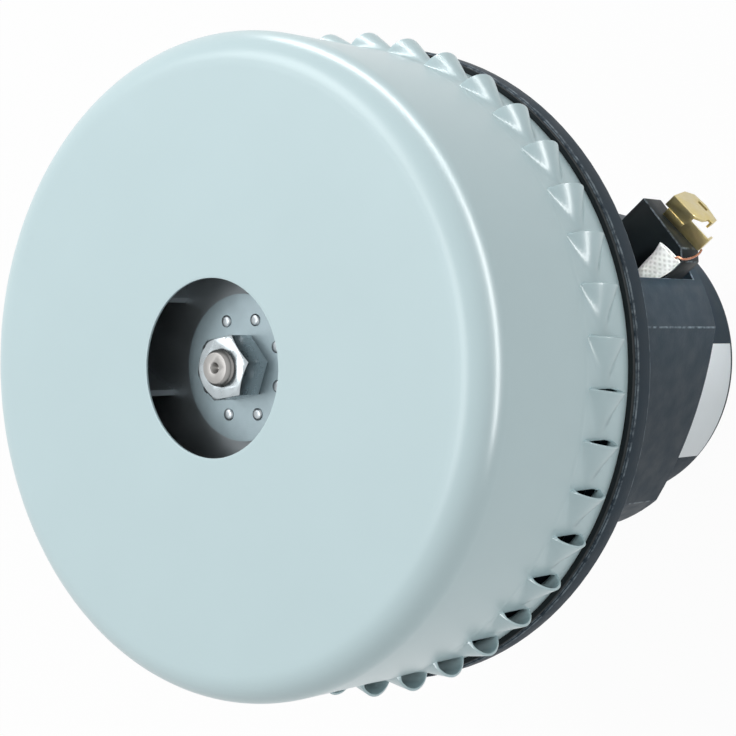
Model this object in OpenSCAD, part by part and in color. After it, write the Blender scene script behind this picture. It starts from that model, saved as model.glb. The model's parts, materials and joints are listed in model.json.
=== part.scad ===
// Vacuum cleaner motor: a two-stage fan head on a commutator motor, standing on its rear cover.
// +Z runs along the shaft and out of the inlet, +X points at the first brush, and the base is Z = 0.

/* [Fan shell] */
// Outside diameter of the pressed fan shell
shell_d = 144; // [140:0.5:146]
// Height of the shell from its open edge to the inlet face
shell_h = 50.9; // [50:0.1:58]
// Sheet thickness of the shell
shell_t = 1.2; // [0.8:0.1:1.5]
// Outside radius of the rounded front corner
shell_fillet = 6.8; // [3:0.1:10]
// Diameter of the inlet hole
inlet_d = 38.4; // [32:0.2:40]
// Thickness of the sheet at the edge of the inlet
inlet_edge = 0.5; // [0.3:0.1:0.7]

/* [Louvres] */
// Number of louvres punched round the shell
louvre_count = 42; // [24:1:46]
// Length of a louvre mouth along the shaft
louvre_l = 12.5; // [11:0.1:14]
// Height of a louvre mouth above the shell
louvre_rise = 3.9; // [3:0.1:4.4]
// Length of a louvre behind its mouth, measured round the shell
louvre_run = 8; // [5:0.1:8.5]
// Wall left in a louvre after punching
louvre_t = 0.6; // [0.5:0.1:1]
// Plain strip between the louvres and the open edge
louvre_edge = 2.9; // [2.8:0.1:6]
// Position angle of the first louvre mouth
louvre_start = 8.4; // [0:0.1:8.5]

/* [Motor housing] */
// Diameter of the mounting rim
rim_d = 147.4; // [147:0.2:152]
// Thickness of the mounting rim
rim_h = 5.8; // [4.5:0.1:8]
// Thickness of the seal between the rim and the shell
seal_h = 1.1; // [0.8:0.1:2]
// Outside diameter of the round motor body
housing_d = 92; // [90:0.5:98]
// Height of the motor body below the rim
housing_h = 82.2; // [78:0.1:92]
// Wall of the body at the middle of its four flats
flat_wall = 3; // [2.5:0.1:4]
// Large radius of the slightly rounded flats
flat_round = 115; // [90:1:400]
// Position angle of the first two flats from the brush axis
flat_angle = -60.5; // [-66:0.5:-52]
// Position angle of the other two flats from the brush axis
far_flat_angle = 40; // [36:0.5:60]
// Width of the two brush windows
window_w = 19.8; // [18.6:0.1:21]
// Height of the two brush windows
window_h = 29; // [26:0.5:30]
// Thickness of the wall at the rear end of the body
end_wall = 3; // [2.5:0.1:4]

/* [Rear cover] */
// Outside diameter of the rear cover
cover_d = 76.6; // [74:0.2:80]
// Height of the rear cover
cover_h = 24; // [22:0.5:30]
// Wall of the rear cover
cover_wall = 2; // [1.5:0.1:2.5]
// Number of cooling slots in the cover's end
vent_count = 20; // [12:1:24]

/* [Rotor] */
// Outside diameter of the impellers
impeller_d = 128; // [120:0.5:130]
// Sheet thickness of the impellers and diffuser discs
plate_t = 1; // [0.8:0.1:1.2]
// Height of the impeller vanes at their outer end
vane_out = 7; // [6:0.1:8]
// Height of the impeller vanes at the eye
vane_in = 8.8; // [8:0.1:9.5]
// Number of vanes in each impeller
vane_count = 7; // [5:1:9]
// Height of the return vanes between the two stages
return_h = 10; // [8:0.1:11]
// Thickness of the riveted hub discs
hub_t = 3; // [2.5:0.1:4]
// Diameter of the riveted hub discs
hub_d = 32; // [30:0.5:34]
// Diameter of the armature core
armature_d = 42; // [40:0.2:43]
// Diameter of the commutator
commutator_d = 25; // [23:0.2:26]
// Diameter of the shaft inside the motor
shaft_d = 10; // [9:0.1:11]
// Diameter of the shaft at the fan and at the rear bearing
fan_shaft_d = 8; // [7:0.1:8.6]
// Width across the flats of the fan nut
nut_flats = 13; // [12:0.1:14]

/* [Brush gear] */
// Height of the brush centre above the rear end of the motor body
brush_up = 13.9; // [13:0.1:15]
// Width of a carbon brush round the shaft
brush_w = 10; // [9:0.1:11]
// Height of a carbon brush along the shaft
brush_h = 5.8; // [5.2:0.1:6.4]
// Length of a new carbon brush
brush_l = 22; // [18:0.5:24]
// Sheet thickness of the brass tubes and clips
brass_t = 0.6; // [0.5:0.05:0.8]
// Radial reach of the brush holders
holder_reach = 53; // [51:0.1:56]

/* [Hidden] */
$fn = 72;
fit = 0.1;        // gap of parts that slide together by hand
run_gap = 0.06;   // running gap of a brush in its tube
thread_gap = 0.02; // gap round a threaded end
cut = 1;          // overrun of a cutting shape

shell_r = shell_d / 2;
shell_in = shell_r - shell_t;
rim_r = rim_d / 2;
housing_r = housing_d / 2;
cover_r = cover_d / 2;
cover_in = cover_r - cover_wall;
shaft_r = shaft_d / 2;
fan_shaft_r = fan_shaft_d / 2;
impeller_r = impeller_d / 2;
commutator_r = commutator_d / 2;

// Levels from the base up
z_end = cover_h;
z_rim_bot = z_end + housing_h;
z_rim_top = z_rim_bot + rim_h;
z_shell_bot = z_rim_top + seal_h;
z_front = z_shell_bot + shell_h;

// Spigot that the shell is pushed over
spigot_r = shell_in - fit;
spigot_clear = 0.4;
spigot_h = seal_h + louvre_edge - spigot_clear;
spigot_wall = 2.6;
rim_bevel = 0.5;

// Seal under the shell's edge, and the seat that carries both above the rim
seal_lip = 1.2;
seal_r = shell_r + seal_lip;
seat_t = 2.5;

// Fan-end bearing 10 x 30 x 9 and rear bearing 8 x 22 x 7: bore, outside, width, ball, pitch radius, balls
fan_bearing_r = 15;
fan_bearing_w = 9;
fan_ball_r = 2.38;
fan_pitch_r = 10;
fan_balls = 8;
fan_bearing = [shaft_r, fan_bearing_r, fan_bearing_w, fan_ball_r, fan_pitch_r, fan_balls];
rear_bearing_r = 11;
rear_bearing_w = 7;
rear_ball_r = 1.985;
rear_pitch_r = 7.5;
rear_balls = 7;
rear_bearing = [fan_shaft_r, rear_bearing_r, rear_bearing_w, rear_ball_r, rear_pitch_r, rear_balls];
race_gap = 0.06;
shoulder = 1.8;
shield_t = 0.35;
shield_gap = 0.25;
cage_t = 1.6;
cage_side = 0.55;

// Bearing bracket
bracket_t = 2;
bracket_clear = 2;
bracket_r = spigot_r - spigot_wall - bracket_clear;
cup_wall = 2.2;
cup_lip = 1.2;
collar_clear = 2;
bracket_screws_n = 4;
bracket_screw_turn = 45;
bracket_screw_r = 58;
thread_floor = 1;
z_fb_top = z_rim_top + bracket_t / 2;
z_fb_bot = z_fb_top - fan_bearing[2];

// Rear bearing seat in the end wall
boss_drop = 5;
boss_lip = 1;
boss_wall = 2.5;
shaft_clear = 1.5;
washer_h = 0.6;
air_holes = 8;
air_hole_r = 5;
air_hole_at = 25;
z_boss = z_end - boss_drop;
z_rb_bot = z_boss + boss_lip + washer_h;
z_rb_top = z_rb_bot + rear_bearing[2];

// Armature and stator
collar_h = 3;
collar_out = 1.5;
collar_r = shaft_r + collar_out;
overhang = 9;
commutator_l = 15;
riser_h = 2.4;
riser_out = 1.4;
bar_depth = 4;
bar_count = 24;
bar_gap = 0.5;
winding_gap = 0.5;
winding_inset = 1;
winding_clear = 1.5;
window_sill = 1;
window_z = z_end + end_wall + window_sill;
tube_in_w = brush_w + 2 * run_gap;
tube_in_h = brush_h + 2 * run_gap;
tube_w = tube_in_w + 2 * brass_t;
tube_h = tube_in_h + 2 * brass_t;
holder_wall = 0.75;
holder_h = tube_h + 2 * fit + 2 * holder_wall;
holder_w = window_w - 2 * fit;
brush_z = z_end + brush_up;
z_commutator = brush_z - commutator_l / 2;
z_core = z_commutator + commutator_l + winding_gap + overhang;
z_core_top = z_fb_bot - collar_h - overhang;
core_l = z_core_top - z_core;
armature_r = armature_d / 2;
slot_count = 12;
slot_w = 3.6;
slot_depth = 7;
air_gap = 0.6;
pole_r = armature_r + air_gap;
pole_shoe = 4;
coil_space = 6;
yoke = 7;
stator_r = pole_r + pole_shoe + coil_space + yoke;
bore_r = stator_r + fit;
pole_w = 28;
pole_gap = 12;
coil_gap = 0.3;
coil_side = 0.5;
coil_over = 8;
flat_off = bore_r + flat_wall;

// Fan stack from the inlet face down
inlet_gap = 1.3;
eye_r = 23.4;
lip_h = 0.7;
stage_gap = 2;
eye_gap = 1.5;
impeller_h = plate_t + vane_in + plate_t + lip_h;
z_first = z_front - shell_t - inlet_gap - impeller_h;
z_diffuser_top = z_first - stage_gap;
z_return = z_diffuser_top - plate_t - return_h;
z_diffuser = z_return - plate_t;
z_second = z_diffuser - eye_gap - impeller_h;
z_hub_top = z_first + plate_t + hub_t;
spacer_r = 7;
diffuser_r = impeller_r;
diffuser_rim = 4;
spacer_clear = 1;
eye_cover = 1.5;
return_count = 9;
return_start = 26;
return_inset = 2;
return_end = diffuser_r - return_inset;
return_lag = 70;
return_bend = 48;
vane_t = 1;
vane_setback = 1;
vane_inset = 0.5;
vane_start = eye_r + vane_setback;
vane_end = impeller_r - vane_inset;
vane_lag = 55;
vane_bend = 45;

// Nut and shaft end
nut_h = 6.8;
nut_turn = -30;
tip_proud = 1.9;
thread_pitch = 1.25;
thread_depth = 0.65;
thread_lead = 0.2;
tip_bevel = 0.7;
shaft_bevel = 0.5;
centre_hole_r = 1.25;
centre_hole_end = 0.4;
centre_hole_h = 1.6;
nut_bevel = 30;
nut_face = 0.2;
z_nut_top = z_hub_top + nut_h;
z_tip = z_nut_top + tip_proud;
rivet_circle = 11;
rivet_count = 8;
rivet_turn = -15.5;
rivet_r = 1;
rivet_head_r = 1.35;
rivet_head_top = 0.8;
rivet_head_h = 0.5;

// Cooling fan in the rear cover
cover_floor = 2;
cover_fillet = 2.5;
fan_gap = 3;
z_fan = cover_floor + fan_gap;
fan_clear = 2.5;
fan_top = z_boss - fan_clear;
fan_disc = 1.5;
fan_hub_r = 8;
fan_blades = 11;
blade_t = 1.4;
blade_inset = 0.5;
ring_t = 0.8;
ring_w = 2.4;
ring_groove = 0.6;
shaft_gap = 0.9;
z_shaft = cover_floor + shaft_gap;
screw_r = 1.9;
screw_head_r = 3.4;
screw_head_h = 2.2;
screw_sunk = 0.2;
cross_l = 4;
cross_w = 0.9;
cross_deep = 1.1;
cover_screws_n = 4;
cover_screw_turn = 45;
cover_boss_r = 3;
boss_foot = 1.2;
cover_screw_at = cover_r - cover_fillet - screw_head_r - boss_foot;
boss_gap = 1.5;
cooling_r = cover_screw_at - cover_boss_r - boss_gap;
vent_w = 2.4;
vent_land = 3;
vent_in = fan_hub_r + vent_land;
vent_out = cover_screw_at - screw_head_r - boss_gap;
label_t = 0.2;
label_from = -82;
label_span = 49;
label_gap = 0.6;
label_top = 1.9;
label_z = cover_fillet + label_gap;
label_h = cover_h - label_top - label_z;

// Brush gear, seen along +X, with Y round the shaft
tube_clear = 1.6;
tube_start = commutator_r + riser_out + tube_clear;
brush_gap = 0.05;
brush_start = commutator_r + brush_gap;
brush_end = brush_start + brush_l;
flange_t = 2;
flange_out = 1.5;
flange_half = window_w / 2 + flange_out;
holder_start = sqrt(bore_r * bore_r - flange_half * flange_half) - flange_t;
holder_end = 1.2;
holder_bevel = [2, 2.8];
tube_end = holder_reach - holder_end;
spring_wire = 0.35;
spring_r = brush_h / 2 - spring_wire - brush_gap;
spring_turns = 7;

// Terminal clip, drawn with X along its front wall, Y to the rear and Z away from the holder
clip_at = [5.8, 0.9];
clip_turn = 17;
clip_l = 14.2;
clip_h = 5.5;
fold_l = 7.6;
cup_h = 4;
cup_d = 3.5;
base_l = 12;
base_d = 7;
foot_set = 1.3;
foot_h = 2.2;
roof_outline = [[0, 0], [fold_l, 0], [9.5, 3], [10, 6.6], [11.2, 6.6], [11.2, 10.5], [6.4, 12.6], [2.4, 11.8],
    [0.4, 8]];
prong_at = [10.6, 6.6];
prong_l = 3.9;
prong_h = 1.9;
slot_at = [4.4, 9.5];
slot_size = [3.2, 1.6];
bar_at = [0.9, 0.9];
bar_size = [6, 1.3];
bar_out = 0.4;

// Routes of one lead's sleeve and wire from the field coil out to the clip, from the brush centre
sleeve_route = [[31.4, -6.6, 9.2], [35.5, -6.7, 8], [40, -6.8, 7.1], [44.5, -6.8, 6.8], [48, -7.1, 6.8],
    [50.9, -6.8, 6.9]];
sleeve_w = [2.3, 2.4, 2.5, 2.9, 3.4, 3.8];
sleeve_h = [2, 2, 2.1, 2.1, 1.8, 1.2];
sleeve_wall = 0.45;
wire_route = [[31.4, -6.6, 9.2], [35.5, -6.7, 8], [40, -7.1, 7.1], [44.5, -7.9, 6.8], [48, -8.7, 6.8],
    [51.5, -9, 6.9], [52, -10, 5.6], [52.5, -9.9, 2], [53.2, -9.1, -1.6], [53.6, -7.95, -4]];
wire_r = 0.3;

moulding_colour = "#3d474d";
sheet_colour = "#c4dade";
steel_colour = "#8f979b";
bright_colour = "#c8cdd0";
brass_colour = "#b49a4a";
copper_colour = "#b0633c";
black_colour = "#1a1c1e";

// Shared shapes

module tube(outer, inner, z, h) {
    translate([0, 0, z]) difference() {
        cylinder(r = outer, h = h);
        translate([0, 0, -cut]) cylinder(r = inner, h = h + 2 * cut);
    }
}

module disc(r, z, h) {
    translate([0, 0, z]) cylinder(r = r, h = h);
}

// Places its child at each of count equal steps round the shaft
module around(count, start = 0) {
    for (k = [0 : count - 1]) rotate([0, 0, start + k * 360 / count]) children();
}

// Bars with the middle of one side at the X axis
module bar(x0, x1, w, z, h) {
    translate([x0, -w / 2, z]) cube([x1 - x0, w, h]);
}

// Outline of half a can with a rounded top corner
module can_outline(r, h, round_r) {
    square([r - round_r, h]);
    square([r, h - round_r]);
    translate([r - round_r, h - round_r]) circle(round_r);
}

// Thin wall on a circular arc from radius r_in to r_out, its outer end turned back by lag degrees
module arc_vane(r_in, r_out, lag, arc_r, t, z, h) {
    p = [r_in, 0];
    q = r_out * [cos(lag), -sin(lag)];
    chord = norm(q - p);
    rise = sqrt(arc_r * arc_r - chord * chord / 4);
    sag = arc_r - rise;
    side = 3;
    translate([(p[0] + q[0]) / 2, (p[1] + q[1]) / 2, z])
        rotate([0, 0, atan2(q[1] - p[1], q[0] - p[0])])
            intersection() {
                translate([0, -rise, 0]) difference() {
                    cylinder(r = arc_r + t / 2, h = h, $fn = 180);
                    translate([0, 0, -cut]) cylinder(r = arc_r - t / 2, h = h + 2 * cut, $fn = 180);
                }
                translate([-chord / 2 - side, -side, -cut])
                    cube([chord + 2 * side, sag + 2 * side, h + 2 * cut]);
            }
}

// Directions along a route and rings of points round it
function unit(v) = v / norm(v);
function along(p, i) = unit(p[min(i + 1, len(p) - 1)] - p[max(i - 1, 0)]);
function ring(c, t, side, a, b, n) =
    let (s = unit(side - (side * t) * t), q = cross(t, s))
    [for (k = [0 : n - 1]) c + a * cos(360 * k / n) * s + b * sin(360 * k / n) * q];
function flat(lists) = [for (l = lists) for (v = l) v];

// Closed solid through a row of rings with n points each
module swept(rings, n) {
    last = len(rings) - 1;
    sides = [for (i = [0 : last - 1]) for (k = [0 : n - 1]) let (m = (k + 1) % n, a = i * n, b = a + n)
        each [[a + k, b + k, b + m], [a + k, b + m, a + m]]];
    caps = [[for (k = [0 : n - 1]) k], [for (k = [n - 1 : -1 : 0]) last * n + k]];
    polyhedron(points = flat(rings), faces = concat(sides, caps), convexity = 6);
}

// Hollow solid between two such rows
module swept_tube(outer, inner, n) {
    last = len(outer) - 1;
    base = len(outer) * n;
    walls = [for (i = [0 : last - 1]) for (k = [0 : n - 1])
        let (m = (k + 1) % n, a = i * n, b = a + n, c = base + a, d = base + b)
        each [[a + k, b + k, b + m], [a + k, b + m, a + m], [c + k, c + m, d + m], [c + k, d + m, d + k]]];
    ends = [for (k = [0 : n - 1]) let (m = (k + 1) % n, e = last * n)
        each [[k, m, base + m, base + k], [e + m, e + k, base + e + k, base + e + m]]];
    polyhedron(points = concat(flat(outer), flat(inner)), faces = concat(walls, ends), convexity = 6);
}

// Fan head

louvre_cone = (louvre_l * louvre_l / 4 + louvre_rise * louvre_rise) / (2 * louvre_rise);
louvre_axis = shell_r + louvre_rise - louvre_cone;
louvre_tip = sqrt(shell_r * shell_r - louvre_run * louvre_run) - louvre_axis;
louvre_slope = (louvre_cone - louvre_tip) / louvre_run;
louvre_z = z_shell_bot + louvre_edge + louvre_l / 2;

louvre_over = 0.6;
louvre_lead = 0.9;
louvre_point = 0.2;

// Tapered form behind a louvre mouth, smaller all round by inset and starting ahead of it by lead
module louvre(inset, lead) {
    reach = louvre_run + louvre_over;
    translate([louvre_axis, lead, louvre_z]) rotate([90, 0, 0])
        cylinder(r1 = louvre_cone - inset + louvre_slope * lead,
            r2 = max(louvre_point, louvre_cone - inset - louvre_slope * reach), h = reach + lead);
}

module fan_shell() color(sheet_colour) difference() {
    union() {
        translate([0, 0, z_shell_bot]) rotate_extrude($fn = 144) can_outline(shell_r, shell_h, shell_fillet);
        around(louvre_count, louvre_start) louvre(0, 0);
    }
    translate([0, 0, z_shell_bot - cut]) rotate_extrude($fn = 144)
        can_outline(shell_in, shell_h - shell_t + cut, shell_fillet - shell_t);
    rotate_extrude($fn = 144) polygon([[0, z_front + cut], [inlet_d / 2, z_front + cut],
        [inlet_d / 2, z_front - inlet_edge],
        [inlet_d / 2 + shell_t - inlet_edge + cut, z_front - shell_t - cut], [0, z_front - shell_t - cut]]);
    around(louvre_count, louvre_start) louvre(louvre_t, louvre_lead);
}

module shell_seal() color(black_colour) tube(seal_r, spigot_r + 2 * fit, z_rim_top, seal_h);

module diffuser_front_disc() color(bright_colour)
    tube(diffuser_r, spacer_r + spacer_clear, z_diffuser_top - plate_t, plate_t);

module diffuser_vanes() color(bright_colour) around(return_count)
    arc_vane(return_start, return_end, return_lag, return_bend, vane_t, z_return, return_h);

module diffuser_rear_disc() color(bright_colour) {
    tube(shell_in - fit, eye_r - eye_cover, z_diffuser, plate_t);
    tube(shell_in - fit, shell_in - fit - plate_t, z_return, diffuser_rim);
}

// Impellers: each piece stands on the level z of the back plate's underside

function vane_top(r) = plate_t + vane_in - (r - eye_r) * (vane_in - vane_out) / (impeller_r - eye_r);

module impeller_front(z) translate([0, 0, z]) rotate_extrude($fn = 144)
    polygon([[eye_r, vane_top(eye_r)], [impeller_r, vane_top(impeller_r)],
        [impeller_r, vane_top(impeller_r) + plate_t], [eye_r + plate_t, vane_top(eye_r + plate_t) + plate_t],
        [eye_r + plate_t, impeller_h], [eye_r, impeller_h]]);

module impeller_vanes(z) translate([0, 0, z]) intersection() {
    around(vane_count) arc_vane(vane_start, vane_end, vane_lag, vane_bend, vane_t, plate_t, vane_in);
    rotate_extrude($fn = 144) polygon([[vane_start, plate_t], [vane_end, plate_t],
        [vane_end, vane_top(vane_end)], [vane_start, vane_top(vane_start)]]);
}

module impeller_back(z) difference() {
    disc(impeller_r, z, plate_t);
    disc(fan_shaft_r, z - cut, plate_t + 2 * cut);
    rivet_holes(z - cut, plate_t + 2 * cut);
}

module hub_disc(z) difference() {
    disc(hub_d / 2, z + plate_t, hub_t);
    disc(fan_shaft_r, z, plate_t + hub_t + cut);
    rivet_holes(z, plate_t + hub_t + cut);
}

module rivet_holes(z, h) around(rivet_count, rivet_turn)
    translate([rivet_circle, 0, z]) cylinder(r = rivet_r, h = h);

// Rivets with a low round head on the hub disc and a flat end under the back plate
module hub_rivets(z) around(rivet_count, rivet_turn) translate([rivet_circle, 0, z]) {
    cylinder(r = rivet_r, h = plate_t + hub_t);
    translate([0, 0, plate_t + hub_t]) cylinder(r1 = rivet_head_r, r2 = rivet_head_top, h = rivet_head_h);
}

module first_impeller_front() color(bright_colour) impeller_front(z_first);
module first_impeller_vanes() color(bright_colour) impeller_vanes(z_first);
module first_impeller_back() color(bright_colour) impeller_back(z_first);
module first_hub_disc() color(steel_colour) hub_disc(z_first);
module first_hub_rivets() color(bright_colour) hub_rivets(z_first);
module second_impeller_front() color(bright_colour) impeller_front(z_second);
module second_impeller_vanes() color(bright_colour) impeller_vanes(z_second);
module second_impeller_back() color(bright_colour) impeller_back(z_second);
module second_hub_disc() color(steel_colour) hub_disc(z_second);
module second_hub_rivets() color(bright_colour) hub_rivets(z_second);

module stage_spacer() color(steel_colour)
    tube(spacer_r, fan_shaft_r, z_second + plate_t + hub_t, z_first - z_second - plate_t - hub_t);

module bearing_spacer() color(steel_colour) tube(spacer_r, fan_shaft_r, z_fb_top, z_second - z_fb_top);

module fan_nut() color(bright_colour) difference() {
    corner = nut_flats / sqrt(3);
    far = corner + cut;
    face = nut_flats / 2 - nut_face;
    intersection() {
        translate([0, 0, z_hub_top]) rotate([0, 0, nut_turn]) cylinder(r = corner, h = nut_h, $fn = 6);
        translate([0, 0, z_hub_top]) rotate_extrude() polygon([[0, 0], [far, 0],
            [far, nut_h - (far - face) * tan(nut_bevel)], [face, nut_h], [0, nut_h]]);
    }
    disc(fan_shaft_r + thread_gap, z_hub_top - cut, nut_h + 2 * cut);
}

// Motor

// Large round that trims the body to a slightly rounded flat
module flat_side(a) rotate([0, 0, a]) translate([flat_off - flat_round, 0, z_end])
    cylinder(r = flat_round, h = housing_h + rim_h / 2, $fn = 180);

module rim() rotate_extrude($fn = 144) polygon([[0, z_rim_bot], [rim_r - rim_bevel, z_rim_bot],
    [rim_r, z_rim_bot + rim_bevel], [rim_r, z_rim_top - rim_bevel], [rim_r - rim_bevel, z_rim_top],
    [0, z_rim_top]]);

module motor_housing() color(moulding_colour) difference() {
    union() {
        rim();
        disc(seal_r, z_rim_top - seat_t, seat_t);
        disc(spigot_r, z_rim_top, spigot_h);
        intersection() {
            disc(housing_r, z_end, housing_h + rim_h / 2);
            flat_side(flat_angle);
            flat_side(far_flat_angle);
            flat_side(180 + flat_angle);
            flat_side(180 + far_flat_angle);
        }
        disc(rear_bearing[1] + boss_wall, z_boss, z_rb_top - z_boss);
    }
    disc(spigot_r - spigot_wall, z_rim_top, spigot_h + cut);
    difference() {
        disc(bore_r, z_end + end_wall, z_rim_top - z_end);
        disc(rear_bearing[1] + boss_wall, z_boss, z_rb_top - z_boss);
    }
    disc(rear_bearing[1], z_boss + boss_lip, z_rb_top);
    disc(fan_shaft_r + shaft_clear, z_boss - cut, boss_lip + 2 * cut);
    around(2) bar(holder_start, housing_r + cut, window_w, window_z, window_h);
    around(air_holes, 180 / air_holes)
        translate([air_hole_at, 0, z_end - cut]) cylinder(r = air_hole_r, h = end_wall + 2 * cut);
    cover_bosses(screw_r, z_end - cut, end_wall + 2 * cut);
    bracket_posts(screw_r, z_rim_bot + thread_floor, rim_h);
}

module bracket_posts(r, z, h) around(bracket_screws_n, bracket_screw_turn)
    translate([bracket_screw_r, 0, z]) cylinder(r = r, h = h);

module bearing_bracket() color(steel_colour) difference() {
    union() {
        disc(bracket_r, z_rim_top, bracket_t);
        disc(fan_bearing[1] + cup_wall, z_fb_bot - cup_lip, z_rim_top + bracket_t - z_fb_bot + cup_lip);
    }
    disc(fan_bearing[1], z_fb_bot, fan_bearing[2] + bracket_t);
    disc(collar_r + collar_clear, z_fb_bot - cup_lip - cut, cup_lip + 2 * cut);
    bracket_posts(screw_r + fit, z_rim_top - cut, bracket_t + 2 * cut);
}

// Cross recess of a screw head
module cross_slot(z, h) around(4) bar(0, cross_l / 2, cross_w, z, h);

module bracket_screws() color(bright_colour) difference() {
    union() {
        bracket_posts(screw_r, z_rim_bot + thread_floor, rim_h - thread_floor + bracket_t);
        bracket_posts(screw_head_r, z_rim_top + bracket_t, screw_head_h);
    }
    around(bracket_screws_n, bracket_screw_turn) translate([bracket_screw_r, 0, 0])
        cross_slot(z_rim_top + bracket_t + screw_head_h - cross_deep, cross_deep + cut);
}

module stator_core() color(steel_colour) translate([0, 0, z_core]) difference() {
    cylinder(r = stator_r, h = core_l);
    translate([0, 0, -cut]) cylinder(r = pole_r, h = core_l + 2 * cut);
    difference() {
        tube(pole_r + pole_shoe + coil_space, pole_r + pole_shoe, -cut, core_l + 2 * cut);
        translate([-pole_w / 2, -stator_r, -2 * cut]) cube([pole_w, 2 * stator_r, core_l + 4 * cut]);
    }
    bar(-pole_r - pole_shoe - cut, pole_r + pole_shoe + cut, pole_gap, -cut, core_l + 2 * cut);
}

// Coil round the pole on the +Y side, a little clear of the iron
module field_coil() translate([0, 0, z_core]) difference() {
    intersection() {
        tube(pole_r + pole_shoe + coil_space - coil_gap, pole_r + pole_shoe + coil_gap,
            -coil_over, core_l + 2 * coil_over);
        translate([-stator_r, pole_gap / 2 + coil_side, -coil_over])
            cube([2 * stator_r, stator_r, core_l + 2 * coil_over]);
    }
    translate([-pole_w / 2 - coil_gap, 0, -coil_gap])
        cube([pole_w + 2 * coil_gap, stator_r, core_l + 2 * coil_gap]);
}

module field_coil_a() color(copper_colour) field_coil();
module field_coil_b() color(copper_colour) rotate([0, 0, 180]) field_coil();

module armature_core() color(steel_colour) difference() {
    disc(armature_r, z_core, core_l);
    disc(shaft_r, z_core - cut, core_l + 2 * cut);
    around(slot_count) bar(armature_r - slot_depth, armature_r + cut, slot_w, z_core - cut, core_l + 2 * cut);
}

module armature_winding() color(copper_colour) {
    outer = armature_r - winding_inset;
    for (z = [z_core - overhang, z_core_top]) tube(outer, shaft_r + winding_clear, z, overhang);
    around(slot_count)
        bar(armature_r - slot_depth + fit, outer, slot_w - 2 * fit, z_core - fit, core_l + 2 * fit);
}

module commutator_bars() color(copper_colour) difference() {
    union() {
        disc(commutator_r, z_commutator, commutator_l);
        disc(commutator_r + riser_out, z_commutator + commutator_l - riser_h, riser_h);
    }
    disc(commutator_r - bar_depth, z_commutator - cut, commutator_l + 2 * cut);
    around(bar_count, 180 / bar_count)
        bar(0, commutator_r + riser_out + cut, bar_gap, z_commutator - cut, commutator_l + 2 * cut);
}

module commutator_hub() color(black_colour)
    tube(commutator_r - bar_depth, shaft_r, z_commutator, commutator_l);

module shaft() color(bright_colour) difference() {
    thread_z = z_hub_top + thread_lead;
    turns = floor((z_tip - tip_bevel - thread_z) / thread_pitch);
    groove_r = fan_shaft_r - ring_groove;
    ridges = [for (k = [0 : turns - 1]) each [[fan_shaft_r, thread_z + k * thread_pitch],
        [fan_shaft_r - thread_depth, thread_z + (k + 0.5) * thread_pitch]]];
    top = thread_z + turns * thread_pitch;
    rotate_extrude() polygon(concat([[0, z_shaft], [fan_shaft_r - shaft_bevel, z_shaft],
        [fan_shaft_r, z_shaft + shaft_bevel], [fan_shaft_r, z_fan - ring_t], [groove_r, z_fan - ring_t],
        [groove_r, z_fan], [fan_shaft_r, z_fan], [fan_shaft_r, z_rb_top], [shaft_r, z_rb_top],
        [shaft_r, z_fb_bot - collar_h], [collar_r, z_fb_bot - collar_h], [collar_r, z_fb_bot],
        [shaft_r, z_fb_bot], [shaft_r, z_fb_top], [fan_shaft_r, z_fb_top]],
        ridges, [[fan_shaft_r, top], [fan_shaft_r - tip_bevel, z_tip], [0, z_tip]]));
    translate([0, 0, z_tip - centre_hole_h])
        cylinder(r1 = centre_hole_end, r2 = centre_hole_r, h = centre_hole_h);
}

// Bearings: b lists bore radius, outside radius, width, ball radius, pitch radius and number of balls

module bearing_groove(b, z) translate([0, 0, z + b[2] / 2]) rotate_extrude()
    translate([b[4], 0]) circle(b[3] + race_gap);

module bearing_outer(b, z) difference() {
    tube(b[1], b[4] + shoulder, z, b[2]);
    bearing_groove(b, z);
}

module bearing_inner(b, z) difference() {
    tube(b[4] - shoulder, b[0], z, b[2]);
    bearing_groove(b, z);
}

module bearing_balls(b, z) around(b[5]) translate([b[4], 0, z + b[2] / 2]) sphere(b[3], $fn = 48);

module bearing_cage(b, z) difference() {
    wide = 2 * (b[3] + cage_side);
    tube(b[4] + cage_t / 2, b[4] - cage_t / 2, z + b[2] / 2 - wide / 2, wide);
    around(b[5]) translate([b[4], 0, z + b[2] / 2]) sphere(b[3] + race_gap, $fn = 48);
}

module bearing_shields(b, z) for (s = [z, z + b[2] - shield_t])
    tube(b[4] + shoulder, b[4] - shoulder + shield_gap, s, shield_t);

module fan_bearing_outer() color(steel_colour) bearing_outer(fan_bearing, z_fb_bot);
module fan_bearing_shields() color(steel_colour) bearing_shields(fan_bearing, z_fb_bot);
module fan_bearing_inner() color(bright_colour) bearing_inner(fan_bearing, z_fb_bot);
module fan_bearing_balls() color(bright_colour) bearing_balls(fan_bearing, z_fb_bot);
module fan_bearing_cage() color(brass_colour) bearing_cage(fan_bearing, z_fb_bot);
module rear_bearing_outer() color(steel_colour) bearing_outer(rear_bearing, z_rb_bot);
module rear_bearing_shields() color(steel_colour) bearing_shields(rear_bearing, z_rb_bot);
module rear_bearing_inner() color(bright_colour) bearing_inner(rear_bearing, z_rb_bot);
module rear_bearing_balls() color(bright_colour) bearing_balls(rear_bearing, z_rb_bot);
module rear_bearing_cage() color(brass_colour) bearing_cage(rear_bearing, z_rb_bot);

// Spring washer with three waves under the rear bearing
wave_steps = 48;
wave_sheet = 0.3;
wave_in = rear_bearing[4] + shoulder;
wave_gap = 0.2;
wave_out = rear_bearing[1] - wave_gap;
function wave_level(a) = z_boss + boss_lip + (washer_h - wave_sheet) / 2 * (1 + sin(3 * a));
function wave_corners(a) = let (d = [cos(a), sin(a), 0], h = [0, 0, wave_level(a)], up = [0, 0, wave_sheet])
    [wave_in * d + h, wave_in * d + h + up, wave_out * d + h + up, wave_out * d + h];

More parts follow.
